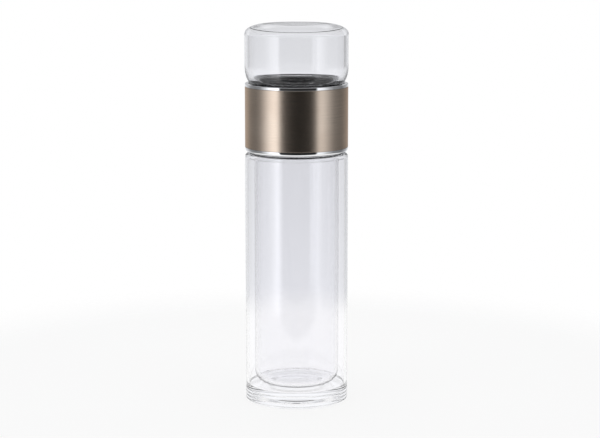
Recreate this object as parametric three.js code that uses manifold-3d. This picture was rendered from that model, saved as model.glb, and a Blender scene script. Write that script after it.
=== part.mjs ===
// Tea infuser bottle: double-wall glass bottle, screw collar with a lift-out strainer, glass tea chamber.
// Millimetres, +Z up, the base centre at the origin.
import * as THREE from 'three';
import { mergeVertices } from 'three/addons/utils/BufferGeometryUtils.js';
import Module from 'manifold-3d';

const wasm = await Module();
wasm.setup();

// Clearances
const FIT = 0.3;
const SEAM = 0.1;
const THREAD_FIT = 0.4;
const SEAL_FIT = 0.8;

// Glass bottle
const BODY_DIAMETER = 66;
const BODY_HEIGHT = 160.7;
const OUTER_WALL = 2;
const AIR_GAP = 3.9;
const INNER_WALL = 2;
const BASE_THICKNESS = 10;
const BASE_CORNER = 0.8;
const BASE_EDGE = 0.4;
const RECESS_RADIUS = 18;
const RECESS_DEPTH = 1;
const RECESS_SLOPE = 4;
const FLOOR_GAP = 1;
const FLOOR_THICKNESS = 2.2;
const FLOOR_CORNER = 6;
const SHOULDER_CORNER = 2.5;
const SHOULDER_THICKNESS = 1;
const SHOULDER_INNER_CORNER = 1.5;
const NECK_HEIGHT = 16.3;
const RIM_ROUND = 0.8;

// Screw thread shared by both necks
const THREAD_LEAD = 5;
const THREAD_TURNS = 1.5;
const THREAD_HEIGHT = 1.3;
const THREAD_ROOT_WIDTH = 2.5;
const THREAD_CREST_WIDTH = 1.3;
const THREAD_MARGIN = 4.2;
const THREAD_FADE_TURNS = 0.08;
const THREAD_BURY = 0.6;

// Collar
const SLEEVE_WALL = 0.8;
const SKIRT_WALL = 1.2;
const SKIRT_CHAMFER = 0.5;
const SKIRT_SHOW = 0.9;
const BOTTOM_RING_HEIGHT = 3.3;
const BOTTOM_RING_BAND = 0.6;
const BOTTOM_RING_LIP = 0.3;
const TOP_RING_HEIGHT = 1.9;
const TOP_RING_EDGE = 0.3;
const SPIGOT_LENGTH = 2.5;
const RIM_WALL = 1.6;
const RIM_SINK = 0.5;
const FLARE = 1;
const FLARE_HEIGHT = 1.4;
const GASKET_THICKNESS = 2;
const GASKET_OVERLAP = 0.4;
const LOWER_WEB = 2;
const UPPER_WEB = 2.5;
const LEDGE_DEPTH = 1.4;

// Strainer
const FLANGE_CLEARANCE = 1;
const STRAINER_DEPTH = 6.6;
const STRAINER_WALL = 0.6;
const FLANGE_WIDTH = 1.9;
const SEAT_LIP = 1.4;
const SEAL_THICKNESS = 1;
const PLATE_THICKNESS = 0.5;
const PLATE_HOLE_RADIUS = 1.2;
const PLATE_HOLE_PITCH = 4;
const PLATE_HOLE_SIDES = 6;
const PLATE_HOLES_PER_RING = 6;
const PLATE_MARGIN = 1;

// Tea chamber
const CHAMBER_OVERHANG = 0.1;
const CHAMBER_HEIGHT = 37.7;
const CHAMBER_WALL = 2.8;
const CHAMBER_NECK_HEIGHT = 18.8;
const CHAMBER_SHOULDER_SINK = 1.3;
const CHAMBER_SHOULDER_RISE = 12;
const CHAMBER_HOLLOW_INSET = 2;
const CHAMBER_HOLLOW_RISE = 10.7;
const CROWN_THICKNESS = 2.8;
const CROWN_ROUND_WIDTH = 14;
const CROWN_ROUND_HEIGHT = 6;
const CEILING_ROUND_WIDTH = 13.5;
const CEILING_ROUND_HEIGHT = 4;

// Facets
const FACETS = 36;
const ARC_STEPS = 3;
const CROWN_ARC_STEPS = 5;
const WELD_DISTANCE = 1e-4;

// Radii and heights that follow from the driving sizes
const bodyRadius = BODY_DIAMETER / 2;
const neckRadius = bodyRadius - OUTER_WALL - AIR_GAP;
const mouthRadius = neckRadius - INNER_WALL;
const socketRadius = neckRadius + THREAD_HEIGHT + THREAD_FIT;
const skirtRadius = socketRadius + SKIRT_WALL;
const rimRadius = socketRadius + RIM_WALL;
const sleeveBore = bodyRadius - SLEEVE_WALL;
const insertRadius = sleeveBore - FIT;
const chamberRadius = bodyRadius + CHAMBER_OVERHANG;
const chamberBore = neckRadius - CHAMBER_WALL;
const upperGasketBore = chamberBore + GASKET_OVERLAP;

const linerUnderside = BASE_THICKNESS + FLOOR_GAP;
const linerFloor = linerUnderside + FLOOR_THICKNESS;

const lowerGasketBase = NECK_HEIGHT + FIT;
const lowerWebBase = lowerGasketBase + GASKET_THICKNESS + FIT;
const upperWebBase = lowerWebBase + LOWER_WEB + FIT;
const upperWebTop = upperWebBase + UPPER_WEB;
const upperGasketBase = upperWebTop + FIT;
const chamberMouth = upperGasketBase + GASKET_THICKNESS + FIT;
const collarTop = chamberMouth + CHAMBER_NECK_HEIGHT;
const skirtBase = FIT;
const bottomRingBase = skirtBase + SKIRT_SHOW;
const sleeveBase = bottomRingBase + BOTTOM_RING_HEIGHT;
const sleeveTop = collarTop - TOP_RING_HEIGHT;

const flangeRadius = upperGasketBore - FLANGE_CLEARANCE;
const strainerRadius = flangeRadius - FLANGE_WIDTH;
const webHoleRadius = strainerRadius + SEAL_FIT;
const ledgeRadius = flangeRadius + FIT;
const ledgeBase = upperWebTop - LEDGE_DEPTH;
const sealBase = ledgeBase + FIT;
const flangeBase = sealBase + SEAL_THICKNESS + FIT;

// Axial distance between the two helices of a thread when its load flanks are one clearance apart
const flankSlope = (THREAD_ROOT_WIDTH - THREAD_CREST_WIDTH) / 2 / THREAD_HEIGHT;
const helixOffset = (THREAD_ROOT_WIDTH + THREAD_CREST_WIDTH) / 2 - flankSlope * THREAD_FIT + FIT;

// Points of an elliptical arc in the radius and height plane, angles in quarter turns
function arc(centreRadius, centreHeight, radial, axial, fromQuarter, toQuarter, steps = ARC_STEPS) {
  const points = [];
  for (let step = 0; step <= steps; step += 1) {
    const quarter = fromQuarter + (toQuarter - fromQuarter) * step / steps;
    const angle = quarter * Math.PI / 2;
    points.push([centreRadius + radial * Math.cos(angle), centreHeight + axial * Math.sin(angle)]);
  }
  return points;
}

// Closed profile that runs anticlockwise in the radius and height plane, turned about +Z
function turned(profile) {
  const points = profile.map(([radius, height]) => new THREE.Vector2(radius, height));
  if (profile[0][0] > 0) points.push(points[0].clone());
  return new THREE.LatheGeometry(points, FACETS).rotateX(Math.PI / 2);
}

function block(inner, outer, bottom, top) {
  return turned([[inner, bottom], [outer, bottom], [outer, top], [inner, top]]);
}

// Screw ridge on a round wall: side is 1 on the outside of a neck and -1 on the inside of a socket
function threadRidge(wallRadius, side, startHeight) {
  const rootHalf = THREAD_ROOT_WIDTH / 2;
  const crestHalf = THREAD_CREST_WIDTH / 2;
  const section = new THREE.Shape([
    new THREE.Vector2(-THREAD_BURY, -rootHalf),
    new THREE.Vector2(0, -rootHalf),
    new THREE.Vector2(THREAD_HEIGHT, -crestHalf),
    new THREE.Vector2(THREAD_HEIGHT, crestHalf),
    new THREE.Vector2(0, rootHalf),
    new THREE.Vector2(-THREAD_BURY, rootHalf),
  ]);
  const steps = Math.round(THREAD_TURNS * FACETS);
  const ridge = new THREE.ExtrudeGeometry(section, { depth: THREAD_TURNS, steps, bevelEnabled: false });
  const position = ridge.getAttribute('position');
  for (let index = 0; index < position.count; index += 1) {
    const turn = position.getZ(index);
    const fade = Math.min(1, turn / THREAD_FADE_TURNS, (THREAD_TURNS - turn) / THREAD_FADE_TURNS);
    const outward = position.getX(index);
    const faded = outward < 0 ? outward : outward * fade - (1 - fade) * THREAD_BURY / 2;
    const radius = wallRadius + side * faded;
    const angle = 2 * Math.PI * turn;
    const height = startHeight + THREAD_LEAD * turn - side * position.getY(index);
    position.setXYZ(index, radius * Math.cos(angle), radius * Math.sin(angle), height);
  }
  return ridge;
}

function toSolid(geometry) {
  const bare = geometry.clone();
  bare.deleteAttribute('normal');
  bare.deleteAttribute('uv');
  const merged = mergeVertices(bare, WELD_DISTANCE);
  const index = Array.from(merged.index.array);
  const triangles = [];
  for (let corner = 0; corner < index.length; corner += 3) {
    const [a, b, c] = index.slice(corner, corner + 3);
    if (a !== b && b !== c && c !== a) triangles.push(a, b, c);
  }
  const vertProperties = Float32Array.from(merged.getAttribute('position').array);
  const triVerts = Uint32Array.from(triangles);
  return new wasm.Manifold(new wasm.Mesh({ numProp: 3, vertProperties, triVerts }));
}

function joined(first, second) {
  const { vertProperties, triVerts } = toSolid(first).add(toSolid(second)).getMesh();
  const geometry = new THREE.BufferGeometry();
  geometry.setAttribute('position', new THREE.BufferAttribute(Float32Array.from(vertProperties), 3));
  geometry.setIndex(new THREE.BufferAttribute(Uint32Array.from(triVerts), 1));
  return geometry;
}

// Finishes
const clearGlass = { color: 0xe6edf0, roughness: 0.03, metalness: 0, transparent: true, opacity: 0.4 };
const bronze = { color: 0x6f6053, roughness: 0.32, metalness: 0.9 };
const polished = { color: 0xd8d9da, roughness: 0.06, metalness: 1 };
const blackPlastic = { color: 0x17171a, roughness: 0.5, metalness: 0 };
const silicone = { color: 0x2e2e30, roughness: 0.55, metalness: 0 };
const stainless = { color: 0xb4b6b8, roughness: 0.25, metalness: 1 };

function piece(name, geometry, finish) {
  const mesh = new THREE.Mesh(geometry, new THREE.MeshStandardMaterial(finish));
  mesh.geometry.computeVertexNormals();
  mesh.name = name;
  return mesh;
}

// Bottle, heights from the base

function outerGlass() {
  const bore = bodyRadius - OUTER_WALL;
  const underShoulder = BODY_HEIGHT - SHOULDER_THICKNESS;
  const weldRadius = neckRadius + FIT;
  const cornerRadius = bodyRadius - SHOULDER_CORNER;
  const cornerHeight = BODY_HEIGHT - SHOULDER_CORNER;
  const innerCornerRadius = bore - SHOULDER_INNER_CORNER;
  const innerCornerHeight = underShoulder - SHOULDER_INNER_CORNER;
  return turned([
    [0, RECESS_DEPTH],
    [RECESS_RADIUS - RECESS_SLOPE, RECESS_DEPTH],
    [RECESS_RADIUS, 0],
    [bodyRadius - BASE_EDGE, 0],
    [bodyRadius, BASE_EDGE],
    ...arc(cornerRadius, cornerHeight, SHOULDER_CORNER, SHOULDER_CORNER, 0, 1),
    [weldRadius, BODY_HEIGHT],
    [weldRadius, underShoulder],
    ...arc(innerCornerRadius, innerCornerHeight, SHOULDER_INNER_CORNER, SHOULDER_INNER_CORNER, 1, 0),
    ...arc(bore - BASE_CORNER, BASE_THICKNESS + BASE_CORNER, BASE_CORNER, BASE_CORNER, 0, -1),
    [0, BASE_THICKNESS],
  ]);
}

function innerGlass() {
  const outerCorner = FLOOR_CORNER + INNER_WALL;
  const rim = BODY_HEIGHT + NECK_HEIGHT;
  const liner = turned([
    [0, linerUnderside],
    ...arc(neckRadius - outerCorner, linerUnderside + outerCorner, outerCorner, outerCorner, -1, 0),
    [neckRadius, rim - RIM_ROUND],
    [neckRadius - RIM_ROUND, rim],
    [mouthRadius + RIM_ROUND, rim],
    [mouthRadius, rim - RIM_ROUND],
    ...arc(mouthRadius - FLOOR_CORNER, linerFloor + FLOOR_CORNER, FLOOR_CORNER, FLOOR_CORNER, 0, -1),
    [0, linerFloor],
  ]);
  return joined(liner, threadRidge(neckRadius, 1, BODY_HEIGHT + THREAD_MARGIN));
}

const bottle = new THREE.Group();
bottle.add(
  piece('outer_glass', outerGlass(), clearGlass),
  piece('inner_glass', innerGlass(), clearGlass),
);

// Collar, heights from the bottle's shoulder

function collarSleeve() {
  return block(sleeveBore, bodyRadius, sleeveBase + SEAM, sleeveTop - SEAM);
}

function bottomTrimRing() {
  const bore = skirtRadius + FIT;
  const lipRadius = bore + BOTTOM_RING_LIP;
  const bandBase = sleeveBase - BOTTOM_RING_BAND;
  const spigotTop = sleeveBase + SPIGOT_LENGTH;
  return turned([
    [bore, bottomRingBase],
    ...arc(lipRadius, bandBase, bodyRadius - lipRadius, bandBase - bottomRingBase, -1, 0),
    [bodyRadius, sleeveBase],
    [insertRadius, sleeveBase],
    [insertRadius, spigotTop],
    [bore, spigotTop],
  ]);
}

function topTrimRing() {
  const bore = rimRadius + FIT;
  const spigotBase = sleeveTop - SPIGOT_LENGTH;
  return turned([
    [bore, spigotBase],
    [insertRadius, spigotBase],
    [insertRadius, sleeveTop],
    [bodyRadius, sleeveTop],
    [bodyRadius, collarTop - TOP_RING_EDGE],
    [bodyRadius - TOP_RING_EDGE, collarTop],
    [bore, collarTop],
  ]);
}

function lowerThreadInsert() {
  const step = sleeveBase + SPIGOT_LENGTH + FIT;
  const webTop = lowerWebBase + LOWER_WEB;
  const shell = turned([
    [socketRadius + SKIRT_CHAMFER, skirtBase],
    [skirtRadius, skirtBase],
    [skirtRadius, step],
    [insertRadius, step],
    [insertRadius, webTop],
    [webHoleRadius, webTop],
    [webHoleRadius, lowerWebBase],
    [socketRadius, lowerWebBase],
    [socketRadius, skirtBase + SKIRT_CHAMFER],
  ]);
  return joined(shell, threadRidge(socketRadius, -1, THREAD_MARGIN - helixOffset));
}

function upperThreadInsert() {
  const step = sleeveTop - SPIGOT_LENGTH - FIT;
  const rimTop = collarTop - RIM_SINK;
  const shell = turned([
    [webHoleRadius, upperWebBase],
    [insertRadius, upperWebBase],
    [insertRadius, step],
    [rimRadius, step],
    [rimRadius, rimTop],
    [socketRadius + FLARE, rimTop],
    [socketRadius, rimTop - FLARE_HEIGHT],
    [socketRadius, upperWebTop],
    [ledgeRadius, upperWebTop],
    [ledgeRadius, ledgeBase],
    [webHoleRadius, ledgeBase],
  ]);
  return joined(shell, threadRidge(socketRadius, -1, chamberMouth + THREAD_MARGIN + helixOffset));
}

function lowerGasket() {
  const bore = mouthRadius - GASKET_OVERLAP;
  return block(bore, socketRadius - FIT, lowerGasketBase, lowerGasketBase + GASKET_THICKNESS);
}

// The upper gasket leaves with the chamber, so it is no wider than the neck that passes the thread
function upperGasket() {
  return block(upperGasketBore, neckRadius, upperGasketBase, upperGasketBase + GASKET_THICKNESS);
}

function strainerFrame() {
  const flangeTop = flangeBase + STRAINER_WALL;
  const foot = flangeTop - STRAINER_DEPTH - STRAINER_WALL;
  const bore = strainerRadius - STRAINER_WALL;
  return turned([
    [bore - SEAT_LIP, foot],
    [strainerRadius, foot],
    [strainerRadius, flangeBase],
    [flangeRadius, flangeBase],
    [flangeRadius, flangeTop],
    [bore, flangeTop],
    [bore, foot + STRAINER_WALL],
    [bore - SEAT_LIP, foot + STRAINER_WALL],
  ]);
}

function ringOfPoints(radius, sides) {
  const points = [];
  for (let side = 0; side < sides; side += 1) {
    const angle = 2 * Math.PI * side / sides;
    points.push(new THREE.Vector2(radius * Math.cos(angle), radius * Math.sin(angle)));
  }
  return points;
}

function strainerPlate() {
  const plateRadius = strainerRadius - STRAINER_WALL - FIT;
  const drilledRadius = strainerRadius - STRAINER_WALL - SEAT_LIP - PLATE_MARGIN - PLATE_HOLE_RADIUS;
  const seat = flangeBase + STRAINER_WALL - STRAINER_DEPTH;
  const disc = new THREE.Shape(ringOfPoints(plateRadius, FACETS));
  const rings = Math.floor(drilledRadius / PLATE_HOLE_PITCH);
  for (let ring = 0; ring <= rings; ring += 1) {
    const count = Math.max(1, ring * PLATE_HOLES_PER_RING);
    for (const centre of ringOfPoints(ring * PLATE_HOLE_PITCH, count)) {
      const hole = ringOfPoints(PLATE_HOLE_RADIUS, PLATE_HOLE_SIDES).map((point) => point.add(centre));
      disc.holes.push(new THREE.Path(hole));
    }
  }
  const plate = new THREE.ExtrudeGeometry(disc, { depth: PLATE_THICKNESS, bevelEnabled: false });
  return plate.translate(0, 0, seat + FIT);
}

function strainerSeal() {
  return block(strainerRadius + FIT, flangeRadius, sealBase, sealBase + SEAL_THICKNESS);
}

const collar = new THREE.Group();
collar.position.z = BODY_HEIGHT;
collar.add(
  piece('collar_sleeve', collarSleeve(), bronze),
  piece('bottom_trim_ring', bottomTrimRing(), polished),
  piece('top_trim_ring', topTrimRing(), polished),
  piece('lower_thread_insert', lowerThreadInsert(), blackPlastic),
  piece('upper_thread_insert', upperThreadInsert(), blackPlastic),
  piece('lower_gasket', lowerGasket(), silicone),
  piece('upper_gasket', upperGasket(), silicone),
  piece('strainer_frame', strainerFrame(), stainless),
  piece('strainer_plate', strainerPlate(), stainless),
  piece('strainer_seal', strainerSeal(), silicone),
);

// Tea chamber, heights from the collar's top plane

function teaChamberGlass() {
  const bore = chamberRadius - CHAMBER_WALL;
  const mouth = -CHAMBER_NECK_HEIGHT;
  const bulge = chamberRadius - neckRadius;
  const shoulderTop = CHAMBER_SHOULDER_RISE - CHAMBER_SHOULDER_SINK;
  const hollowTop = CHAMBER_HOLLOW_INSET + CHAMBER_HOLLOW_RISE - CHAMBER_SHOULDER_SINK;
  const ceiling = CHAMBER_HEIGHT - CROWN_THICKNESS;
  const crownFlat = chamberRadius - CROWN_ROUND_WIDTH;
  const crownSpring = CHAMBER_HEIGHT - CROWN_ROUND_HEIGHT;
  const ceilingFlat = bore - CEILING_ROUND_WIDTH;
  const ceilingSpring = ceiling - CEILING_ROUND_HEIGHT;
  const cup = turned([
    [chamberBore, mouth + RIM_ROUND],
    [chamberBore + RIM_ROUND, mouth],
    [neckRadius - RIM_ROUND, mouth],
    [neckRadius, mouth + RIM_ROUND],
    ...arc(neckRadius, shoulderTop, bulge, CHAMBER_SHOULDER_RISE, -1, 0),
    ...arc(crownFlat, crownSpring, CROWN_ROUND_WIDTH, CROWN_ROUND_HEIGHT, 0, 1, CROWN_ARC_STEPS),
    [0, CHAMBER_HEIGHT],
    [0, ceiling],
    ...arc(ceilingFlat, ceilingSpring, CEILING_ROUND_WIDTH, CEILING_ROUND_HEIGHT, 1, 0, CROWN_ARC_STEPS),
    ...arc(chamberBore, hollowTop, bulge, CHAMBER_HOLLOW_RISE, 0, -1),
  ]);
  return joined(cup, threadRidge(neckRadius, 1, mouth + THREAD_MARGIN));
}

const teaChamber = new THREE.Group();
teaChamber.position.z = BODY_HEIGHT + collarTop;
teaChamber.add(piece('tea_chamber_glass', teaChamberGlass(), clearGlass));

const infuserBottle = new THREE.Group();
infuserBottle.add(bottle, collar, teaChamber);

export default infuserBottle;
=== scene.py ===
import math

import bmesh
import bpy
from bpy.props import FloatProperty, FloatVectorProperty, IntProperty, PointerProperty
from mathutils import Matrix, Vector
from mathutils.geometry import delaunay_2d_cdt


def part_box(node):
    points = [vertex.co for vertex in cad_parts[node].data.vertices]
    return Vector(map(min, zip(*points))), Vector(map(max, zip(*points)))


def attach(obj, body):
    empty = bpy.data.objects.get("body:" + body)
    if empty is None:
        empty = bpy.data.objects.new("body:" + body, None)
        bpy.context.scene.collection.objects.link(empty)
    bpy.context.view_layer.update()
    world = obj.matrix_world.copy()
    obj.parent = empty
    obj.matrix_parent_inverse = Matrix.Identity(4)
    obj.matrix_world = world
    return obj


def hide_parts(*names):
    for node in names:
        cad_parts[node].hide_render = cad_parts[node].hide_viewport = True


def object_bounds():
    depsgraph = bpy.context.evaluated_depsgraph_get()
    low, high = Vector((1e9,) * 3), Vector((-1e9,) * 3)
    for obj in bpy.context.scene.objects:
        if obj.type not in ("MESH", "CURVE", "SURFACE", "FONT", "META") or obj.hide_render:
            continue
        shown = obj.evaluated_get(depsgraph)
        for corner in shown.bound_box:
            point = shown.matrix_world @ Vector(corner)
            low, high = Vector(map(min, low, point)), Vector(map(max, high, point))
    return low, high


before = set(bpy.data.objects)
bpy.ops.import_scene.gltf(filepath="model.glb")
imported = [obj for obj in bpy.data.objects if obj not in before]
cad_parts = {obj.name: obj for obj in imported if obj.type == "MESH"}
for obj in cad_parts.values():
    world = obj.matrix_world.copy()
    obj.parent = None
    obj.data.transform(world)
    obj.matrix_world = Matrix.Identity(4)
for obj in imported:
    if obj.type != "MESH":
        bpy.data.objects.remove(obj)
cad_low, cad_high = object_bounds()

bl_info = {
    "name": "Tea infuser bottle",
    "version": (1, 0, 0),
    "blender": (4, 5, 0),
    "location": "View3D > Sidebar > Infuser",
    "description": "Turned glass, metal and silicone pieces of a double-wall tea infuser bottle",
    "category": "Object",
}

TAU = 2 * math.pi
QUARTER = math.pi / 2
# Lengths closer than this count as one
NEAR = 1e-7


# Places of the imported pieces

def foot(node):
    """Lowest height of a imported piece."""
    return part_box(node)[0].z


def head(node):
    """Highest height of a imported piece."""
    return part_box(node)[1].z


def span(node):
    """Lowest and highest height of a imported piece."""
    return foot(node), head(node)


def reach(node):
    """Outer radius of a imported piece."""
    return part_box(node)[1].x


# Settings

def length(name, description, default):
    """A length setting in metres."""
    return FloatProperty(name=name, description=description, default=default, min=0, precision=5,
                         subtype="DISTANCE", unit="LENGTH")


def amount(name, description, default, high=1.0):
    """A plain number setting."""
    return FloatProperty(name=name, description=description, default=default, min=0, max=high, precision=4)


def count(name, description, default):
    """A whole number setting."""
    return IntProperty(name=name, description=description, default=default, min=1)


def turn(name, description, default):
    """An angle setting, given in degrees."""
    return FloatProperty(name=name, description=description, default=math.radians(default), subtype="ANGLE",
                         unit="ROTATION")


def power(name, description, default):
    """A lamp's power setting in watts."""
    return FloatProperty(name=name, description=description, default=default, min=0, unit="POWER")


def place(name, description, default):
    """A point setting in metres."""
    return FloatVectorProperty(name=name, description=description, default=default, precision=4,
                               subtype="TRANSLATION", unit="LENGTH")


def colour(name, description, default):
    """A colour setting."""
    return FloatVectorProperty(name=name, description=description, default=default, min=0, max=1,
                               subtype="COLOR")


class GlassSettings(bpy.types.PropertyGroup):
    """Walls, corners and colour of the glass."""

    outer_wall: length("Outer wall", "Thickness of the bottle's outer wall", 0.002)
    air_gap: length("Air gap", "Room between the two walls", 0.0039)
    inner_wall: length("Inner wall", "Thickness of the liner's wall", 0.002)
    weld_gap: length("Weld gap", "Seam between the shoulder and the liner's neck", 0.00005)
    base_thickness: length("Base thickness", "Glass under the air gap", 0.010)
    base_corner: length("Base corner", "Round inside the outer wall's foot", 0.0008)
    base_edge: length("Base edge", "Round outside the foot", 0.0006)
    foot_rings: count("Foot rings", "Fine mould rings round the base", 4)
    ring_start: length("First foot ring", "Height of the lowest mould ring", 0.0012)
    ring_pitch: length("Foot ring pitch", "Distance between mould rings", 0.0022)
    ring_width: length("Foot ring width", "Width of a mould ring", 0.0007)
    ring_depth: length("Foot ring depth", "Depth of a mould ring", 0.00018)
    recess_radius: length("Recess radius", "Hollow under the base", 0.018)
    recess_depth: length("Recess depth", "Depth of the hollow under the base", 0.001)
    recess_slope: length("Recess slope", "Width of the hollow's sloping edge", 0.004)
    shoulder: length("Shoulder", "Thickness of the shoulder", 0.001)
    shoulder_corner: length("Shoulder corner", "Round outside the shoulder", 0.0018)
    shoulder_inner: length("Shoulder inner corner", "Round inside the shoulder", 0.0015)
    floor: length("Floor", "Thickness of the liner's floor", 0.0022)
    floor_corner: length("Floor corner", "Round inside the liner's floor", 0.006)
    rim: length("Rim", "Round of the necks' rims", 0.0008)
    chamber_wall: length("Chamber wall", "Thickness of the tea chamber", 0.0028)
    chamber_sink: length("Chamber sink", "Start of the chamber's shoulder under the collar's top", 0.0013)
    chamber_rise: length("Chamber rise", "Height of the chamber's rounded shoulder", 0.012)
    chamber_inset: length("Chamber inset", "Lift of the inner shoulder over the outer one", 0.002)
    chamber_hollow: length("Chamber hollow", "Height of the inner shoulder", 0.0107)
    crown: length("Crown", "Thickness of the chamber's top", 0.0028)
    crown_corner: length("Crown corner", "Height of the round outside the chamber's top", 0.006)
    crown_round: length("Crown round", "Width of the round outside the chamber's top", 0.014)
    ceiling_corner: length("Ceiling corner", "Height of the round inside the chamber's top", 0.004)
    ceiling_round: length("Ceiling round", "Width of the round inside the chamber's top", 0.0135)
    mould_line: length("Mould line", "Height of the fine line that the mould leaves inside the top", 0.0001)
    wave: amount("Wave", "Strength of the slow wave in the glass", 0.05)
    index: amount("Refraction", "Refractive index of borosilicate", 1.473, 3.0)
    clear: colour("Clear", "Colour of the clear glass", (0.99, 0.989, 0.998))
    streak: colour("Streak", "Colour of the faint drawn streaks", (0.975, 0.975, 0.988))


class ThreadSettings(bpy.types.PropertyGroup):
    """The screw thread that both necks share."""

    lead: length("Lead", "Rise of the thread in one turn", 0.005)
    turns: amount("Turns", "Length of the thread in turns", 1.5, 9.0)
    fade: amount("Fade", "Run-out at each end in turns", 0.08)
    height: length("Height", "How far the ridge stands out", 0.0013)
    root: length("Root", "Width of the ridge at its foot", 0.0025)
    crest: length("Crest", "Width of the ridge at its top", 0.0013)
    margin: length("Margin", "First ridge from the neck's start", 0.0042)
    clearance: length("Clearance", "Radial room between the two ridges", 0.0004)
    gap: length("Gap", "Axial room between the load flanks", 0.0003)
    row: length("Row", "Height of one row of faces on the ridge", 0.00025)


class CollarSettings(bpy.types.PropertyGroup):
    """Metal sleeve, trim rings and plastic inserts of the collar."""

    fit: length("Fit", "Room between the collar's pieces", 0.0003)
    skirt_wall: length("Skirt wall", "Thickness of the black skirt", 0.0012)
    skirt_chamfer: length("Skirt chamfer", "Lead-in inside the skirt", 0.0005)
    rim_wall: length("Rim wall", "Thickness of the upper insert's rim", 0.0016)
    flare: length("Flare", "Widening of the upper socket's mouth", 0.001)
    flare_height: length("Flare height", "Height of that widening", 0.0014)
    lower_web: length("Lower web", "Thickness of the lower insert's web", 0.002)
    upper_web: length("Upper web", "Thickness of the upper insert's web", 0.0025)
    ledge: length("Ledge", "Depth of the strainer's ledge", 0.0014)
    seal_room: length("Seal room", "Room round the strainer's wall", 0.0008)
    edge: length("Edge", "Broken edge of the sleeve and rings", 0.00018)
    moulded_edge: length("Moulded edge", "Round of the inserts' edges", 0.0003)
    spigot: length("Spigot", "Length of the rings' spigots", 0.0025)
    ring_lip: length("Ring lip", "Flat under the bottom ring", 0.0003)
    ring_band: length("Ring band", "Straight part over the bottom ring's curve", 0.0006)
    bronze: colour("Bronze", "Colour of the satin sleeve", (0.7, 0.589, 0.488))
    bronze_deep: colour("Deep bronze", "Darker clouds in the sleeve's coat", (0.647, 0.536, 0.44))
    bronze_edge: colour("Bronze edge", "Tint of the sleeve at a flat angle", (0.7, 0.6, 0.52))
    steel: colour("Steel", "Colour of the polished rings", (0.86, 0.865, 0.875))
    black: colour("Black", "Colour of the inserts", (0.014, 0.014, 0.016))


class StrainerSettings(bpy.types.PropertyGroup):
    """Pressed strainer and the silicone seals."""

    sheet: length("Sheet", "Thickness of the pressed cup", 0.0006)
    flange: length("Flange", "Width of the cup's flange", 0.0019)
    lip: length("Lip", "Width of the screen's seat", 0.0014)
    fit: length("Fit", "Room between the cup and the screen", 0.0003)
    bend: length("Bend", "Outer round of the pressed corners", 0.0005)
    hole: length("Hole", "Radius of the screen's holes", 0.0012)
    pitch: length("Pitch", "Distance between rings of holes", 0.004)
    margin: length("Margin", "Plain edge round the holes", 0.001)
    burr: length("Burr", "Broken edge of each hole", 0.00012)
    hole_sides: count("Hole sides", "Facets round each hole", 20)
    holes_added: count("Holes added", "Holes that each ring has more than the last", 6)
    bead: length("Bead", "Round of the silicone rings' edges", 0.0004)
    rib: length("Rib", "Height of the sealing rib on a washer", 0.00025)
    stainless: colour("Stainless", "Colour of the strainer", (0.62, 0.62, 0.625))
    silicone: colour("Silicone", "Colour of the seals", (0.03, 0.03, 0.032))


class StageSettings(bpy.types.PropertyGroup):
    """Table, lamp, surroundings and camera."""

    table_radius: length("Table", "Radius of the pale table", 0.36)
    table_drop: length("Table drop", "Gap that keeps the glass off the table's surface", 0.0002)
    table_white: length("White part", "Radius where the table starts to fade", 0.24)
    table_pale: colour("Pale", "Colour of the table", (0.92, 0.92, 0.92))
    table_grain: colour("Table grain", "Darker grain in the table", (0.9, 0.9, 0.9))
    front_white: length("White front", "Where the table starts to fade to the front in reflections", 0.2)
    front_reach: length("Front reach", "Where it has faded to the front in reflections", 0.24)
    shade_share: amount("Shade", "Share of the table's look that takes shadow", 0.12)
    backdrop: amount("Backdrop", "Brightness level with the glass, behind it", 0.823)
    studio: colour("Studio", "Tint of the studio's light", (0.965, 0.975, 1.0))
    overhead: amount("Overhead", "Brightness of the studio's ceiling", 0.4, 4.0)
    back_dim: amount("Back dim", "How far the wall behind the bottle darkens over the table's level", 0.35)
    glow: amount("Glow", "Least brightness above the table for light that turns about inside glass", 0.7)
    low_glow: amount("Low glow", "Least brightness under that level for the same light", 0.25)
    low_glow_down: amount("Low glow, down", "The same for light that sinks towards the table", 0.6)
    side_glow: amount("Side glow", "Least brightness under that level, behind the bottle", 0.5)
    side_glow_down: amount("Side glow, down", "The same for light that sinks towards the table", 0.87)
    back_glow: amount("Back glow", "Least brightness above that level, behind the bottle", 0.8)
    high_glow: amount("High glow", "The same for light that climbs out of the base", 1.0)
    lamp_size: length("Lamp size", "Side of the soft lamp over the bottle", 0.7)
    lamp_height: length("Lamp height", "Height of the soft lamp", 1.3)
    lamp_power: power("Lamp power", "Power of the soft lamp", 6)
    camera: place("Camera", "Place of the camera", (0.0022, -1.1803, 0.3227))
    pitch: turn("Pitch", "How far the camera looks down", 9.85)
    lens: amount("Lens", "Focal length in millimetres", 111.35, 500.0)


# Shader trees

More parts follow.
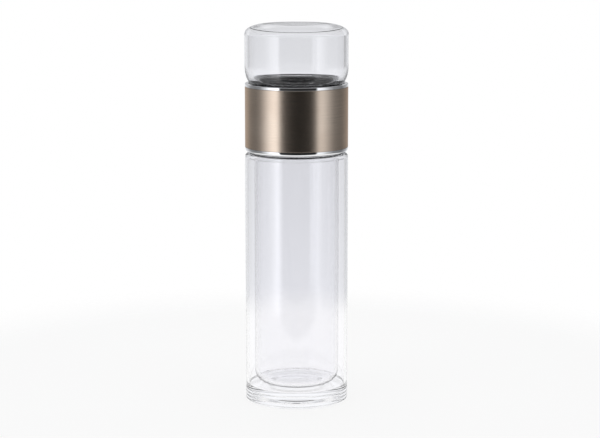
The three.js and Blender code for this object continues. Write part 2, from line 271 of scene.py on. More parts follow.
class Wire:
    """A socket in a shader tree: Python's operators on it add Math nodes."""

    def __init__(self, tree, socket=None):
        self.tree = tree
        self.socket = socket

    def node(self, kind, settings=None, values=None, output=0):
        """Adds a node, sets its settings and then its sockets, and wraps one of its outputs."""
        made = self.tree.nodes.new(kind)
        for name, value in (settings or {}).items():
            if name == "stops":
                fill_ramp(made.color_ramp, value)
            else:
                setattr(made, name, value)
        for key, value in (values or {}).items():
            if isinstance(value, Wire):
                self.tree.links.new(value.socket, made.inputs[key])
            else:
                made.inputs[key].default_value = value
        return Wire(self.tree, made.outputs[output] if made.outputs else None)

    def maths(self, operation, *values):
        """A Math node on values or sockets."""
        return self.node("ShaderNodeMath", {"operation": operation}, dict(enumerate(values)))

    def part(self, axis):
        """The X, Y or Z part of a vector."""
        return self.node("ShaderNodeSeparateXYZ", None, {0: self}, output=axis)

    def ramp(self, over, to=(0.0, 1.0), kind="LINEAR"):
        """A value that goes from one number to another while this one goes over a range."""
        return self.node("ShaderNodeMapRange", {"interpolation_type": kind},
                         {"Value": self, "From Min": over[0], "From Max": over[1],
                          "To Min": to[0], "To Max": to[1]})

    def step(self, low, high):
        """A soft step from 0 to 1 as this value goes from low to high."""
        return self.ramp((low, high), kind="SMOOTHSTEP")

    def __add__(self, other):
        return self.maths("ADD", self, other)

    def __radd__(self, other):
        return self.maths("ADD", other, self)

    def __sub__(self, other):
        return self.maths("SUBTRACT", self, other)

    def __rsub__(self, other):
        return self.maths("SUBTRACT", other, self)

    def __mul__(self, other):
        return self.maths("MULTIPLY", self, other)

    def __rmul__(self, other):
        return self.maths("MULTIPLY", other, self)


def fill_ramp(ramp, stops):
    """Sets a colour ramp's stops from pairs of place and grey."""
    while len(ramp.elements) < len(stops):
        ramp.elements.new(0.5)
    for element, (where, grey) in zip(ramp.elements, stops):
        element.position = where
        element.color = (grey, grey, grey, 1)


def opaque(rgb):
    """A colour setting with full alpha."""
    return (*rgb, 1.0)


def shade(rgb, share):
    """A colour setting made darker or lighter."""
    return [share * part for part in rgb]


class Finish:
    """A new material with helpers for grain that sits on the piece's own coordinates."""

    def __init__(self, name):
        self.material = bpy.data.materials.new(name)
        self.material.use_nodes = True
        tree = self.material.node_tree
        tree.nodes.clear()
        self.root = Wire(tree)
        self.where = self.root.node("ShaderNodeTexCoord", output="Object")

    def grain(self, per_metre, detail=2.0, distortion=0.0):
        """Noise with its own number of features per metre along X, Y and Z."""
        scaled = self.root.node("ShaderNodeVectorMath", {"operation": "MULTIPLY"},
                                {0: self.where, 1: per_metre})
        return self.root.node("ShaderNodeTexNoise", None,
                              {"Vector": scaled, "Scale": 1.0, "Detail": detail, "Distortion": distortion})

    def between(self, factor, first, second):
        """A colour between two colours."""
        return self.root.node("ShaderNodeMix", {"data_type": "RGBA"},
                              {0: factor, 6: opaque(first), 7: opaque(second)}, output=2)

    def bump(self, height, distance, strength):
        """A normal from a height."""
        return self.root.node("ShaderNodeBump", None,
                              {"Height": height, "Distance": distance, "Strength": strength})

    def surface(self, **values):
        """Ends the material in one Principled shader and gives the material back."""
        sockets = {name.replace("_", " "): value for name, value in values.items()}
        shader = self.root.node("ShaderNodeBsdfPrincipled", None, sockets)
        self.root.node("ShaderNodeOutputMaterial", None, {"Surface": shader})
        return self.material


def once(name, make):
    """The material of that name, made at its first use."""
    return bpy.data.materials.get(name) or make(name)


def drawn_glass(name):
    """Polished borosilicate tube: faint drawn streaks, a slow wave and a few wiped places."""
    glass = bpy.context.scene.infuser_glass
    finish = Finish(name)
    drawn = finish.grain(per_metre=(700, 700, 12), detail=3.0)
    wave = finish.grain(per_metre=(45, 45, 30), detail=1.0)
    wiped = finish.grain(per_metre=(60, 60, 25), detail=4.0, distortion=0.6).step(low=0.52, high=0.75)
    return finish.surface(
        Base_Color=finish.between(drawn.step(low=0.45, high=0.8), glass.clear, glass.streak),
        Roughness=0.006 + 0.012 * wiped,
        Normal=finish.bump(wave + 0.15 * drawn, distance=0.0002, strength=glass.wave),
        Transmission_Weight=1.0,
        IOR=glass.index,
    )


def satin_bronze(name):
    """Satin coat over turned metal: very fine turning lines, soft clouds and a matt tooth."""
    collar = bpy.context.scene.infuser_collar
    finish = Finish(name)
    lines = finish.grain(per_metre=(25, 25, 7000), detail=3.0)
    cloud = finish.grain(per_metre=(55, 55, 70), detail=3.0)
    tooth = finish.grain(per_metre=(5200, 5200, 5200), detail=2.0)
    return finish.surface(
        Base_Color=finish.between(cloud.step(low=0.3, high=0.7), collar.bronze, collar.bronze_deep),
        Roughness=0.245 + 0.03 * lines + 0.04 * tooth,
        Metallic=1.0,
        Specular_Tint=opaque(collar.bronze_edge),
        Normal=finish.bump(lines + 0.6 * tooth, distance=0.00002, strength=0.07),
    )


def mirror_steel(name):
    """Mirror polish with faint circular buffing marks and a breath of haze."""
    collar = bpy.context.scene.infuser_collar
    finish = Finish(name)
    buffed = finish.grain(per_metre=(40, 40, 5200), detail=3.0)
    haze = finish.grain(per_metre=(150, 150, 150), detail=4.0)
    hazy = haze.step(low=0.45, high=0.8)
    dull = shade(collar.steel, share=0.94)
    return finish.surface(
        Base_Color=finish.between(haze.step(low=0.35, high=0.8), collar.steel, dull),
        Roughness=0.035 + 0.03 * hazy + 0.02 * buffed,
        Metallic=1.0,
        Normal=finish.bump(buffed, distance=0.00001, strength=0.05),
    )


def moulded_black(name):
    """Moulded black plastic with a fine spark-eroded grain and smoother rubbed places."""
    collar = bpy.context.scene.infuser_collar
    finish = Finish(name)
    grain = finish.grain(per_metre=(3600, 3600, 3600), detail=3.0)
    rubbed = finish.grain(per_metre=(130, 130, 130), detail=3.0).step(low=0.45, high=0.75)
    return finish.surface(
        Base_Color=finish.between(grain, collar.black, shade(collar.black, share=1.7)),
        Roughness=0.28 - 0.1 * rubbed + 0.06 * grain,
        Normal=finish.bump(grain, distance=0.00004, strength=0.25),
    )


def silicone_rubber(name):
    """Matt black silicone with a dry, dusty skin."""
    strainer = bpy.context.scene.infuser_strainer
    finish = Finish(name)
    dust = finish.grain(per_metre=(240, 240, 240), detail=4.0)
    skin = finish.grain(per_metre=(2600, 2600, 2600), detail=2.0)
    return finish.surface(
        Base_Color=finish.between(dust, strainer.silicone, shade(strainer.silicone, share=1.5)),
        Roughness=0.48 + 0.14 * dust,
        Normal=finish.bump(skin, distance=0.00003, strength=0.2),
    )


def pressed_stainless(name):
    """Pressed stainless sheet: rolled grain in one direction and duller clouds."""
    strainer = bpy.context.scene.infuser_strainer
    finish = Finish(name)
    rolled = finish.grain(per_metre=(90, 5200, 5200), detail=3.0)
    cloud = finish.grain(per_metre=(160, 160, 160), detail=3.0)
    return finish.surface(
        Base_Color=finish.between(rolled, strainer.stainless, shade(strainer.stainless, share=0.86)),
        Roughness=0.2 + 0.12 * rolled + 0.06 * cloud,
        Metallic=1.0,
        Normal=finish.bump(rolled, distance=0.00002, strength=0.15),
    )


# Turned shapes

# Steps of full turns and arcs, and the dome's step that carries the mould line
FACETS = 180
ARC_STEP = math.radians(9)
ELLIPSE_STEPS = 24
DOME_STEPS = 48
MOULD_STEP = 31
# Edges that bend more than this stay sharp
SHARP_ANGLE = math.radians(40)
# Straight runs longer than this get a row of faces this far from each end
LONG_RUN = 0.001
HOLD = 0.0002


def ellipse(radius, height, wide, tall, start, end, steps=ELLIPSE_STEPS):
    """Points of an elliptical arc in the radius and height plane, from one quarter turn to another."""
    points = []
    for step in range(steps + 1):
        angle = QUARTER * (start + (end - start) * step / steps)
        points.append((radius + wide * math.cos(angle), height + tall * math.sin(angle)))
    return points


def rounded(corners, closed):
    """A profile whose corners are given as radius, height and the round that breaks them."""
    points = []
    last = len(corners) - 1
    for index, corner in enumerate(corners):
        here = Vector(corner[:2])
        fillet = corner[2] if len(corner) > 2 else 0
        if not fillet or (not closed and index in (0, last)):
            points.append(tuple(here))
            continue
        before = (Vector(corners[index - 1][:2]) - here).normalized()
        after = (Vector(corners[(index + 1) % len(corners)][:2]) - here).normalized()
        opening = before.angle(after)
        centre = here + (before + after).normalized() * fillet / math.sin(opening / 2)
        start = here + before * fillet / math.tan(opening / 2) - centre
        end = here + after * fillet / math.tan(opening / 2) - centre
        sweep = start.angle(end)
        steps = max(2, math.ceil(sweep / ARC_STEP))
        for step in range(steps + 1):
            share = step / steps
            near = math.sin((1 - share) * sweep) / math.sin(sweep)
            far = math.sin(share * sweep) / math.sin(sweep)
            points.append(tuple(centre + start * near + end * far))
    return points


def with_rows(points, radius, low, high, row):
    """Adds close rows to the straight run of a profile at one radius, between two heights."""
    dense = []
    for index, point in enumerate(points):
        dense.append(point)
        following = points[(index + 1) % len(points)]
        if max(abs(point[0] - radius), abs(following[0] - radius)) > NEAR:
            continue
        bottom = max(low, min(point[1], following[1]))
        top = min(high, max(point[1], following[1]))
        if top - bottom < row:
            continue
        rows = math.ceil((top - bottom) / row)
        heights = [bottom + (top - bottom) * step / rows for step in range(rows + 1)]
        if following[1] < point[1]:
            heights.reverse()
        dense += [(radius, height) for height in heights
                  if min(abs(height - point[1]), abs(height - following[1])) > NEAR]
    return dense


def held(profile, closed):
    """Adds a close row at both ends of each long straight run, so that its shading stays straight."""
    points = []
    for index, point in enumerate(profile):
        points.append(point)
        following = profile[(index + 1) % len(profile)]
        run = math.dist(point, following)
        if run < LONG_RUN or (not closed and index == len(profile) - 1):
            continue
        for share in (HOLD / run, 1 - HOLD / run):
            points.append((point[0] + (following[0] - point[0]) * share,
                           point[1] + (following[1] - point[1]) * share))
    return points


def turned(name, profile, closed, ridge=None):
    """A solid turned about the bottle's axis, where a ridge gives what to add to the radius."""
    mesh = bmesh.new()
    rings = []
    for radius, height in held(profile, closed):
        if radius < NEAR:
            rings.append([mesh.verts.new((0, 0, height))])
            continue
        ring = []
        for facet in range(FACETS):
            angle = TAU * facet / FACETS
            wide = radius + (ridge(angle, radius, height) if ridge else 0)
            ring.append(mesh.verts.new((wide * math.cos(angle), wide * math.sin(angle), height)))
        rings.append(ring)
    pairs = list(zip(rings, rings[1:]))
    if closed:
        pairs.append((rings[-1], rings[0]))
    for lower, upper in pairs:
        for facet in range(FACETS):
            following = (facet + 1) % FACETS
            near = (lower[facet % len(lower)], lower[following % len(lower)])
            far = (upper[following % len(upper)], upper[facet % len(upper)])
            mesh.faces.new(dict.fromkeys(near + far))
    bmesh.ops.recalc_face_normals(mesh, faces=mesh.faces)
    return object_from(name, mesh)


def object_from(name, mesh):
    """Puts a finished mesh in the scene, smooth apart from its sharp edges."""
    data = bpy.data.meshes.new(name)
    mesh.to_mesh(data)
    mesh.free()
    for face in data.polygons:
        face.use_smooth = True
    data.set_sharp_from_angle(angle=SHARP_ANGLE)
    made = bpy.data.objects.new(name, data)
    bpy.context.scene.collection.objects.link(made)
    return made


def screw(wall, start, side):
    """The ridge of a screw thread on a round wall: side is 1 outside a neck and -1 inside a socket."""
    thread = bpy.context.scene.infuser_thread
    root = thread.root / 2
    crest = thread.crest / 2

    def ridge(angle, radius, height):
        if abs(radius - wall) > NEAR:
            return 0
        tallest = 0
        for lap in range(math.ceil(thread.turns) + 1):
            turns = angle / TAU + lap
            fade = min(1, turns / thread.fade, (thread.turns - turns) / thread.fade)
            away = abs(height - start - thread.lead * turns)
            flank = min(1, (root - away) / (root - crest))
            if fade > 0 and flank > 0:
                tallest = max(tallest, fade * flank * flank * (3 - 2 * flank))
        return side * thread.height * tallest

    return ridge


def thread_span(start):
    """Lowest and highest height that the ridge of a thread touches."""
    thread = bpy.context.scene.infuser_thread
    return start - thread.root / 2, start + thread.lead * thread.turns + thread.root / 2


def flank_offset():
    """Axial distance between the two ridges of a closed thread."""
    thread = bpy.context.scene.infuser_thread
    slope = (thread.root - thread.crest) / 2 / thread.height
    return (thread.root + thread.crest) / 2 - slope * thread.clearance + thread.gap


def neck_radius():
    """Outer radius of both necks, without the thread."""
    glass = bpy.context.scene.infuser_glass
    return reach("outer_glass") - glass.outer_wall - glass.air_gap


def socket_radius():
    """Inner radius of both threaded sockets, without the thread."""
    thread = bpy.context.scene.infuser_thread
    return neck_radius() + thread.height + thread.clearance


def insert_radius():
    """Outer radius of the inserts and of the trim rings' spigots."""
    return reach("lower_thread_insert")


def settle(piece, material):
    """Gives a piece its material."""
    piece.data.materials.append(once(material.__name__, material))
    return piece


# Pieces

class INFUSER_OT_body_glass(bpy.types.Operator):
    """Turn the outer wall of the bottle with its thick base and shoulder"""

    bl_idname = "infuser.body_glass"
    bl_label = "Outer glass"

    def execute(self, context):
        glass = context.scene.infuser_glass
        radius = reach("outer_glass")
        table, shoulder = span("outer_glass")
        bore = radius - glass.outer_wall
        weld = neck_radius() + glass.weld_gap
        under = shoulder - glass.shoulder
        hollow = table + glass.recess_depth
        base = table + glass.base_thickness
        rings = []
        for ring in range(glass.foot_rings):
            middle = table + glass.ring_start + ring * glass.ring_pitch
            rings += [(radius, middle - glass.ring_width / 2), (radius - glass.ring_depth, middle),
                      (radius, middle + glass.ring_width / 2)]
        profile = rounded([
            (0, hollow),
            (glass.recess_radius - glass.recess_slope, hollow, glass.recess_slope / 2),
            (glass.recess_radius, table, glass.recess_slope),
            (radius, table, glass.base_edge),
            *rings,
            (radius, shoulder, glass.shoulder_corner),
            (weld, shoulder, glass.weld_gap),
            (weld, under, glass.weld_gap),
            (bore, under, glass.shoulder_inner),
            (bore, base, glass.base_corner),
            (0, base),
        ], False)
        piece = settle(turned("body_glass", profile, False), drawn_glass)
        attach(piece, "bottle")
        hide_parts("outer_glass")
        return {"FINISHED"}


class INFUSER_OT_liner_glass(bpy.types.Operator):
    """Turn the inner wall of the bottle with its floor and threaded neck"""

    bl_idname = "infuser.liner_glass"
    bl_label = "Inner glass"

    def execute(self, context):
        glass = context.scene.infuser_glass
        thread = context.scene.infuser_thread
        neck = neck_radius()
        mouth = neck - glass.inner_wall
        underside, rim = span("inner_glass")
        floor = underside + glass.floor
        start = head("outer_glass") + thread.margin
        profile = rounded([
            (0, underside),
            (neck, underside, glass.floor_corner + glass.inner_wall),
            (neck, rim, glass.rim),
            (mouth, rim, glass.rim),
            (mouth, floor, glass.floor_corner),
            (0, floor),
        ], False)
        profile = with_rows(profile, neck, *thread_span(start), thread.row)
        piece = settle(turned("liner_glass", profile, False, screw(neck, start, 1)), drawn_glass)
        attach(piece, "bottle")
        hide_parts("inner_glass")
        return {"FINISHED"}


class INFUSER_OT_bronze_sleeve(bpy.types.Operator):
    """Turn the satin bronze sleeve of the collar"""

    bl_idname = "infuser.bronze_sleeve"
    bl_label = "Bronze sleeve"

    def execute(self, context):
        collar = context.scene.infuser_collar
        radius = reach("collar_sleeve")
        bore = insert_radius() + collar.fit
        bottom, top = span("collar_sleeve")
        profile = rounded([
            (bore, bottom, collar.edge),
            (radius, bottom, collar.edge),
            (radius, top, collar.edge),
            (bore, top, collar.edge),
        ], True)
        piece = settle(turned("bronze_sleeve", profile, True), satin_bronze)
        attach(piece, "collar")
        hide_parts("collar_sleeve")
        return {"FINISHED"}


class INFUSER_OT_trim_rings(bpy.types.Operator):
    """Turn the two polished rings that end the sleeve"""

    bl_idname = "infuser.trim_rings"
    bl_label = "Trim rings"

    def execute(self, context):
        collar = context.scene.infuser_collar
        radius = reach("collar_sleeve")
        spigot = insert_radius()

        bore = socket_radius() + collar.skirt_wall + collar.fit
        lip = bore + collar.ring_lip
        bottom, top = span("bottom_trim_ring")
        seat = top - collar.spigot
        swell = seat - collar.ring_band
        curve = ellipse(lip, swell, radius - lip, swell - bottom, -1, 0)
        profile = [(bore, bottom)] + curve + [(radius, seat), (spigot, seat), (spigot, top), (bore, top)]
        lower = settle(turned("bottom_ring", profile, True), mirror_steel)
        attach(lower, "collar")
        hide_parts("bottom_trim_ring")

        bore = socket_radius() + collar.rim_wall + collar.fit
        bottom, top = span("top_trim_ring")
        seat = bottom + collar.spigot
        profile = rounded([
            (bore, bottom),
            (spigot, bottom),
            (spigot, seat),
            (radius, seat, collar.edge),
            (radius, top, 2 * collar.edge),
            (bore, top, collar.edge),
        ], True)
        upper = settle(turned("top_ring", profile, True), mirror_steel)
        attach(upper, "collar")
        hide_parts("top_trim_ring")
        return {"FINISHED"}


class INFUSER_OT_thread_inserts(bpy.types.Operator):
    """Turn the two black inserts with their screw threads"""

    bl_idname = "infuser.thread_inserts"
    bl_label = "Thread inserts"

    def execute(self, context):
        collar = context.scene.infuser_collar
        thread = context.scene.infuser_thread
        strainer = context.scene.infuser_strainer
        socket = socket_radius()
        wide = insert_radius()
        edge = collar.moulded_edge
        fine = edge / 2
        cup = reach("strainer_frame") - strainer.flange
        hole = cup + collar.seal_room

        bottom, top = span("lower_thread_insert")
        step = head("bottom_trim_ring") + collar.fit
        skirt = socket + collar.skirt_wall
        web = top - collar.lower_web
        start = head("outer_glass") + thread.margin - flank_offset()
        profile = rounded([
            (socket + collar.skirt_chamfer, bottom, fine),
            (skirt, bottom, edge),
            (skirt, step, fine),
            (wide, step, edge),
            (wide, top, edge),
            (hole, top, edge),
            (hole, web, edge),
            (socket, web, edge),
            (socket, bottom + collar.skirt_chamfer),
        ], True)
        profile = with_rows(profile, socket, *thread_span(start), thread.row)
        lower = settle(turned("lower_insert", profile, True, screw(socket, start, -1)), moulded_black)
        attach(lower, "collar")
        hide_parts("lower_thread_insert")

        bottom, top = span("upper_thread_insert")
        step = foot("top_trim_ring") - collar.fit
        rim = socket + collar.rim_wall
        web = bottom + collar.upper_web
        ledge = web - collar.ledge
        seat = reach("strainer_frame") + collar.fit
        start = foot("tea_chamber_glass") + thread.margin + flank_offset()
        profile = rounded([
            (hole, bottom, edge),
            (wide, bottom, edge),
            (wide, step, edge),
            (rim, step, fine),
            (rim, top, fine),
            (socket + collar.flare, top, fine),
            (socket, top - collar.flare_height),
            (socket, web, edge),
            (seat, web, edge),
            (seat, ledge, edge),
            (hole, ledge, edge),
        ], True)
        profile = with_rows(profile, socket, *thread_span(start), thread.row)
        upper = settle(turned("upper_insert", profile, True, screw(socket, start, -1)), moulded_black)
        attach(upper, "collar")
        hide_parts("upper_thread_insert")
        return {"FINISHED"}


def washer(name, node, bore):
    """A flat silicone ring with round edges and a rib on each face, inside its packed height."""
    strainer = bpy.context.scene.infuser_strainer
    wide = reach(node)
    rib = strainer.rib
    bottom, top = span(node)
    middle = (bore + wide) / 2
    bead = min(strainer.bead, (top - bottom) / 3)
    half = min((wide - bore) / 4, bead)
    profile = rounded([
        (bore, bottom + rib, bead),
        (middle - half, bottom + rib, rib),
        (middle, bottom, rib / 2),
        (middle + half, bottom + rib, rib),
        (wide, bottom + rib, bead),
        (wide, top - rib, bead),
        (middle + half, top - rib, rib),
        (middle, top, rib / 2),
        (middle - half, top - rib, rib),
        (bore, top - rib, bead),
    ], True)
    return settle(turned(name, profile, True), silicone_rubber)


class INFUSER_OT_washers(bpy.types.Operator):
    """Turn the two silicone washers that the necks' rims press on"""

    bl_idname = "infuser.washers"
    bl_label = "Washers"

    def execute(self, context):
        glass = context.scene.infuser_glass
        lower = washer("lower_washer", "lower_gasket", neck_radius() - glass.inner_wall)
        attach(lower, "lower_seal")
        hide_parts("lower_gasket")
        upper = washer("upper_washer", "upper_gasket", neck_radius() - glass.chamber_wall + glass.rim / 2)
        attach(upper, "upper_seal")
        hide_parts("upper_gasket")
        return {"FINISHED"}


def circle(radius, sides, centre=(0.0, 0.0)):
    """Points round a centre."""
    angles = [TAU * side / sides for side in range(sides)]
    return [(centre[0] + radius * math.cos(angle), centre[1] + radius * math.sin(angle)) for angle in angles]


# Kind of triangulation that leaves holes open, and how close its points may be
INSIDE_WITH_HOLES = 2
SAME_POINT = 1e-9


def screen(name, radius, bottom, top, drilled):
    """A round plate drilled in rings, with the edge of each hole broken on both faces."""
    strainer = bpy.context.scene.infuser_strainer
    sides = strainer.hole_sides
    outlines = [circle(radius - strainer.burr, FACETS)]
    centres = []
    for ring in range(math.floor(drilled / strainer.pitch) + 1):
        centres += circle(ring * strainer.pitch, max(1, ring * strainer.holes_added))
    outlines += [circle(strainer.hole + strainer.burr, sides, centre) for centre in centres]
    flat = []
    loops = []
    for outline in outlines:
        loops.append(list(range(len(flat), len(flat) + len(outline))))
        flat += [Vector(point) for point in outline]
    edges = [(loop[index - 1], loop[index]) for loop in loops for index in range(len(loop))]
    points, _, faces, *_ = delaunay_2d_cdt(flat, edges, [], INSIDE_WITH_HOLES, SAME_POINT)
    if len(points) != len(flat):
        raise RuntimeError("the screen's outlines cross")
    walls = [circle(radius, FACETS)]
    walls += [circle(strainer.hole, sides, centre) for centre in centres]
    mesh = bmesh.new()
    skins = []
    for height in (bottom, top):
        skin = [mesh.verts.new((point.x, point.y, height)) for point in points]
        for face in faces:
            mesh.faces.new([skin[index] for index in face])
        skins.append(skin)
    for loop, wall in zip(loops, walls):
        rings = [[skins[0][index] for index in loop]]
        for height in (bottom + strainer.burr, top - strainer.burr):
            rings.append([mesh.verts.new((*point, height)) for point in wall])
        rings.append([skins[1][index] for index in loop])
        for lower, upper in zip(rings, rings[1:]):
            for index in range(len(loop)):
                mesh.faces.new((lower[index - 1], lower[index], upper[index], upper[index - 1]))
    bmesh.ops.recalc_face_normals(mesh, faces=mesh.faces)
    return settle(object_from(name, mesh), pressed_stainless)


class INFUSER_OT_strainer(bpy.types.Operator):
    """Press the strainer's cup, drill its screen and turn its seal"""

    bl_idname = "infuser.strainer"
    bl_label = "Strainer"

    def execute(self, context):
        strainer = context.scene.infuser_strainer
        collar = context.scene.infuser_collar
        sheet = strainer.sheet
        flange = reach("strainer_frame")
        wall = flange - strainer.flange
        bore = wall - sheet
        bottom, top = span("strainer_frame")
        edge = sheet / 3
        inner_bend = max(strainer.bend - sheet, sheet / 4)
        profile = rounded([
            (bore - strainer.lip, bottom, edge),
            (wall, bottom, strainer.bend),
            (wall, top - sheet, inner_bend),
            (flange, top - sheet, edge),
            (flange, top, edge),
            (bore, top, strainer.bend),
            (bore, bottom + sheet, inner_bend),
            (bore - strainer.lip, bottom + sheet, edge),
        ], True)
        cup = settle(turned("strainer_cup", profile, True), pressed_stainless)
        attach(cup, "strainer")
        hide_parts("strainer_frame")

        drilled = bore - strainer.lip - strainer.margin - strainer.hole
        plate = screen("strainer_screen", reach("strainer_plate"), *span("strainer_plate"), drilled)
        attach(plate, "strainer")
        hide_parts("strainer_plate")

        seal = washer("strainer_ring", "strainer_seal", wall + collar.fit)
        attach(seal, "strainer")
        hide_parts("strainer_seal")
        return {"FINISHED"}


class INFUSER_OT_tea_chamber(bpy.types.Operator):
    """Turn the glass tea chamber with its threaded neck"""

    bl_idname = "infuser.tea_chamber"
    bl_label = "Tea chamber"

    def execute(self, context):
        glass = context.scene.infuser_glass
        thread = context.scene.infuser_thread
        radius = reach("tea_chamber_glass")
        neck = neck_radius()
        narrow = neck - glass.chamber_wall
        bore = radius - glass.chamber_wall
        mouth, crown = span("tea_chamber_glass")
        ceiling = crown - glass.crown
        bulge = radius - neck
        round_top = head("top_trim_ring") - glass.chamber_sink + glass.chamber_rise
        start = mouth + thread.margin
        hollow = round_top - glass.chamber_rise + glass.chamber_inset
        corner = glass.ceiling_corner
        dome = glass.ceiling_round
        profile = [(0, ceiling)] + ellipse(bore - dome, ceiling - corner, dome, corner, 1, 0, DOME_STEPS)
        profile[MOULD_STEP] = (profile[MOULD_STEP][0], profile[MOULD_STEP][1] - glass.mould_line)
        profile += ellipse(narrow, hollow + glass.chamber_hollow, bulge, glass.chamber_hollow, 0, -1)
        profile += rounded([
            (narrow, hollow),
            (narrow, mouth, glass.rim),
            (neck, mouth, glass.rim),
            (neck, round_top - glass.chamber_rise),
        ], False)[1:-1]
        profile += ellipse(neck, round_top, bulge, glass.chamber_rise, -1, 0)
        corner = glass.crown_corner
        dome = glass.crown_round
        profile += ellipse(radius - dome, crown - corner, dome, corner, 0, 1)
        profile += [(0, crown)]
        profile = with_rows(profile, neck, *thread_span(start), thread.row)
        piece = settle(turned("chamber_glass", profile, False, screw(neck, start, 1)), drawn_glass)
        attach(piece, "tea_chamber")
        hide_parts("tea_chamber_glass")
        return {"FINISHED"}


# Stage

# Brightness of the studio's walls, by the angle round the bottle from the camera's side
SCREEN_PEAK = 1.85
SCREENS = [(-180, 0.9), (-160, 0.88), (-145, 0.7), (-125, 0.3), (-105, 0.21), (-88, 0.28), (-74, 0.75),
           (-58, 1.5), (-42, 1.85), (-36.5, 0.05), (0, 0.016), (44, 0.03), (49, 1.2), (60, 1.05), (76, 0.55),
           (92, 0.24), (120, 0.19), (145, 0.47), (160, 0.8), (180, 0.9)]

# Spans of a ray's direction over which the studio's light changes: the first along Y, the others along Z
AFT = (-0.4, 0.1)
CEILING = (0.4, 0.75)
RISING = (-0.03, 0.06)
FALLING = (0.45, 0.3)
SINKING = (-0.07, -0.21)
CLIMBING = (0.12, 0.18)
CLIMBED = (0.32, 0.27)
BACKDROP = (-0.33, -0.07)


def light_path(root, output):
    """One output of a Light Path node."""
    return root.node("ShaderNodeLightPath", output=output)


def been(root, depth):
    """1 for light that has already met a surface of that kind, 0 for other light."""
    return root.maths("MINIMUM", light_path(root, depth), 1.0)


def pale_table(name):
    """White table that fades out at its edge: seen as white, with the bottle's shadow in a share of it."""
    stage = bpy.context.scene.infuser_stage
    finish = Finish(name)
    root = finish.root
    camera = light_path(root, "Is Camera Ray")
    seen = camera + light_path(root, "Is Glossy Ray") + light_path(root, "Is Transmission Ray")
    seen = root.maths("MINIMUM", seen, 1.0)
    grain = finish.grain(per_metre=(320, 320, 320), detail=3.0)
    pale = finish.between(grain, stage.table_pale, stage.table_grain)
    lit = root.node("ShaderNodeBsdfDiffuse", None, {"Color": pale})
    white = root.node("ShaderNodeEmission", None, {"Color": (1, 1, 1, 1), "Strength": 1.0})
    top = root.node("ShaderNodeMixShader", None, {0: seen - camera * stage.shade_share, 1: lit, 2: white})
    away = root.node("ShaderNodeVectorMath", {"operation": "LENGTH"}, {0: finish.where}, output="Value")
    faded = away.step(stage.table_white, stage.table_radius)
    front = (-1 * finish.where.part("Y")).step(stage.front_white, stage.front_reach)
    faded = root.maths("MAXIMUM", faded, been(root, "Glossy Depth") * front)
    open_air = root.node("ShaderNodeBsdfTransparent")
    both = root.node("ShaderNodeMixShader", None, {0: faded, 1: top, 2: open_air})
    root.node("ShaderNodeOutputMaterial", None, {"Surface": both})
    return finish.material


def surroundings():
    """World light: white to the camera, pale behind clear glass, and a studio in reflections."""
    stage = bpy.context.scene.infuser_stage
    world = bpy.data.worlds.new("studio")
    bpy.context.scene.world = world
    world.use_nodes = True
    world.node_tree.nodes.clear()
    root = Wire(world.node_tree)
    where = root.node("ShaderNodeTexCoord", output="Generated")
    along = where.part("Y")
    up = where.part("Z")
    aft = along.ramp(AFT)
    rising = up.ramp(RISING)

    round_about = root.maths("ARCTAN2", where.part("X"), -1 * along) * (1 / TAU) + 0.5
    screens = [(angle / 360 + 0.5, grey / SCREEN_PEAK) for angle, grey in SCREENS]
    walls = root.node("ShaderNodeValToRGB", {"stops": screens}, {0: round_about})
    grey = root.node("ShaderNodeRGBToBW", None, {0: walls})
    overhead = up.step(*CEILING)
    level = grey * SCREEN_PEAK * (1 - overhead) + overhead * stage.overhead
    level = level * (1 - stage.back_dim * aft * rising)

    inside = been(root, "Transmission Depth")
    sinking = up.ramp(SINKING)
    low = stage.low_glow + (stage.low_glow_down - stage.low_glow) * sinking
    glow = low + (stage.glow - stage.low_glow) * rising * up.ramp(FALLING)
    level = root.maths("MAXIMUM", level, inside * glow)
    side = stage.side_glow + (stage.side_glow_down - stage.side_glow) * sinking
    back = side + (stage.back_glow - stage.side_glow) * rising
    back = back + (stage.high_glow - stage.back_glow) * (up.ramp(CLIMBING) * up.ramp(CLIMBED))
    level = root.maths("MAXIMUM", level, inside * aft * back)

    camera = light_path(root, "Is Camera Ray")
    through = light_path(root, "Is Transmission Ray") * (1 - been(root, "Glossy Depth"))
    behind = up.ramp(BACKDROP, to=(1.0, stage.backdrop))
    bright = camera + through * behind + (1 - camera - through) * level
    tint = root.node("ShaderNodeMix", {"data_type": "RGBA"},
                     {0: camera, 6: opaque(stage.studio), 7: (1, 1, 1, 1)}, output=2)
    light = root.node("ShaderNodeBackground", None, {"Color": tint, "Strength": bright})
    root.node("ShaderNodeOutputWorld", None, {"Surface": light})


def top_lamp():
    """A wide soft lamp over the bottle."""
    stage = bpy.context.scene.infuser_stage
    light = bpy.data.lights.new("top_lamp", "AREA")
    light.shape = "SQUARE"
    light.size = stage.lamp_size
    light.energy = stage.lamp_power
    lamp = bpy.data.objects.new("top_lamp", light)
    lamp.location = (0, 0, stage.lamp_height)
    lamp.visible_glossy = False
    lamp.visible_transmission = False
    bpy.context.scene.collection.objects.link(lamp)


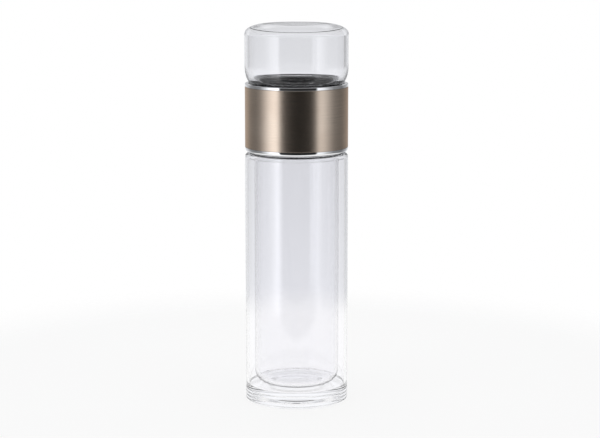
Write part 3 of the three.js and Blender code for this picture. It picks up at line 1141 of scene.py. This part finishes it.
class INFUSER_OT_stage(bpy.types.Operator):
    """Set the table, the lamp, the surroundings and the camera"""

    bl_idname = "infuser.stage"
    bl_label = "Stage"

    def execute(self, context):
        stage = context.scene.infuser_stage
        drop = cad_low.z - stage.table_drop
        mesh = bmesh.new()
        rim = [mesh.verts.new((*point, drop)) for point in circle(stage.table_radius, FACETS)]
        mesh.faces.new(rim)
        table = settle(object_from("pale_table_top", mesh), pale_table)
        top_lamp()
        surroundings()
        lens = bpy.data.cameras.new("photo_camera")
        lens.lens = stage.lens
        camera = bpy.data.objects.new("photo_camera", lens)
        camera.location = stage.camera
        camera.rotation_euler = (QUARTER - stage.pitch, 0, 0)
        context.scene.collection.objects.link(camera)
        context.scene.camera = camera
        context.scene.view_settings.view_transform = "Standard"
        return {"FINISHED"}


class INFUSER_PT_panel(bpy.types.Panel):
    """Buttons for the pieces and the stage"""

    bl_idname = "INFUSER_PT_panel"
    bl_label = "Tea infuser bottle"
    bl_space_type = "VIEW_3D"
    bl_region_type = "UI"
    bl_category = "Infuser"

    def draw(self, context):
        for maker in MAKERS:
            self.layout.operator(maker.bl_idname)
        for name in SETTINGS:
            group = getattr(context.scene, name)
            box = self.layout.box()
            for key in group.bl_rna.properties.keys():
                if key not in ("rna_type", "name"):
                    box.prop(group, key)


MAKERS = (
    INFUSER_OT_body_glass,
    INFUSER_OT_liner_glass,
    INFUSER_OT_bronze_sleeve,
    INFUSER_OT_trim_rings,
    INFUSER_OT_thread_inserts,
    INFUSER_OT_washers,
    INFUSER_OT_strainer,
    INFUSER_OT_tea_chamber,
    INFUSER_OT_stage,
)
SETTINGS = {
    "infuser_glass": GlassSettings,
    "infuser_thread": ThreadSettings,
    "infuser_collar": CollarSettings,
    "infuser_strainer": StrainerSettings,
    "infuser_stage": StageSettings,
}


def register():
    """Registers the settings, the operators and the panel."""
    for name, group in SETTINGS.items():
        bpy.utils.register_class(group)
        setattr(bpy.types.Scene, name, PointerProperty(type=group))
    for maker in (*MAKERS, INFUSER_PT_panel):
        bpy.utils.register_class(maker)


def unregister():
    """Takes out what register put in."""
    for maker in (INFUSER_PT_panel, *reversed(MAKERS)):
        bpy.utils.unregister_class(maker)
    for name, group in SETTINGS.items():
        delattr(bpy.types.Scene, name)
        bpy.utils.unregister_class(group)


def main():
    """Makes every piece and the stage."""
    register()
    bpy.ops.infuser.body_glass()
    bpy.ops.infuser.liner_glass()
    bpy.ops.infuser.bronze_sleeve()
    bpy.ops.infuser.trim_rings()
    bpy.ops.infuser.thread_inserts()
    bpy.ops.infuser.washers()
    bpy.ops.infuser.strainer()
    bpy.ops.infuser.tea_chamber()
    bpy.ops.infuser.stage()


if __name__ == "__main__":
    main()
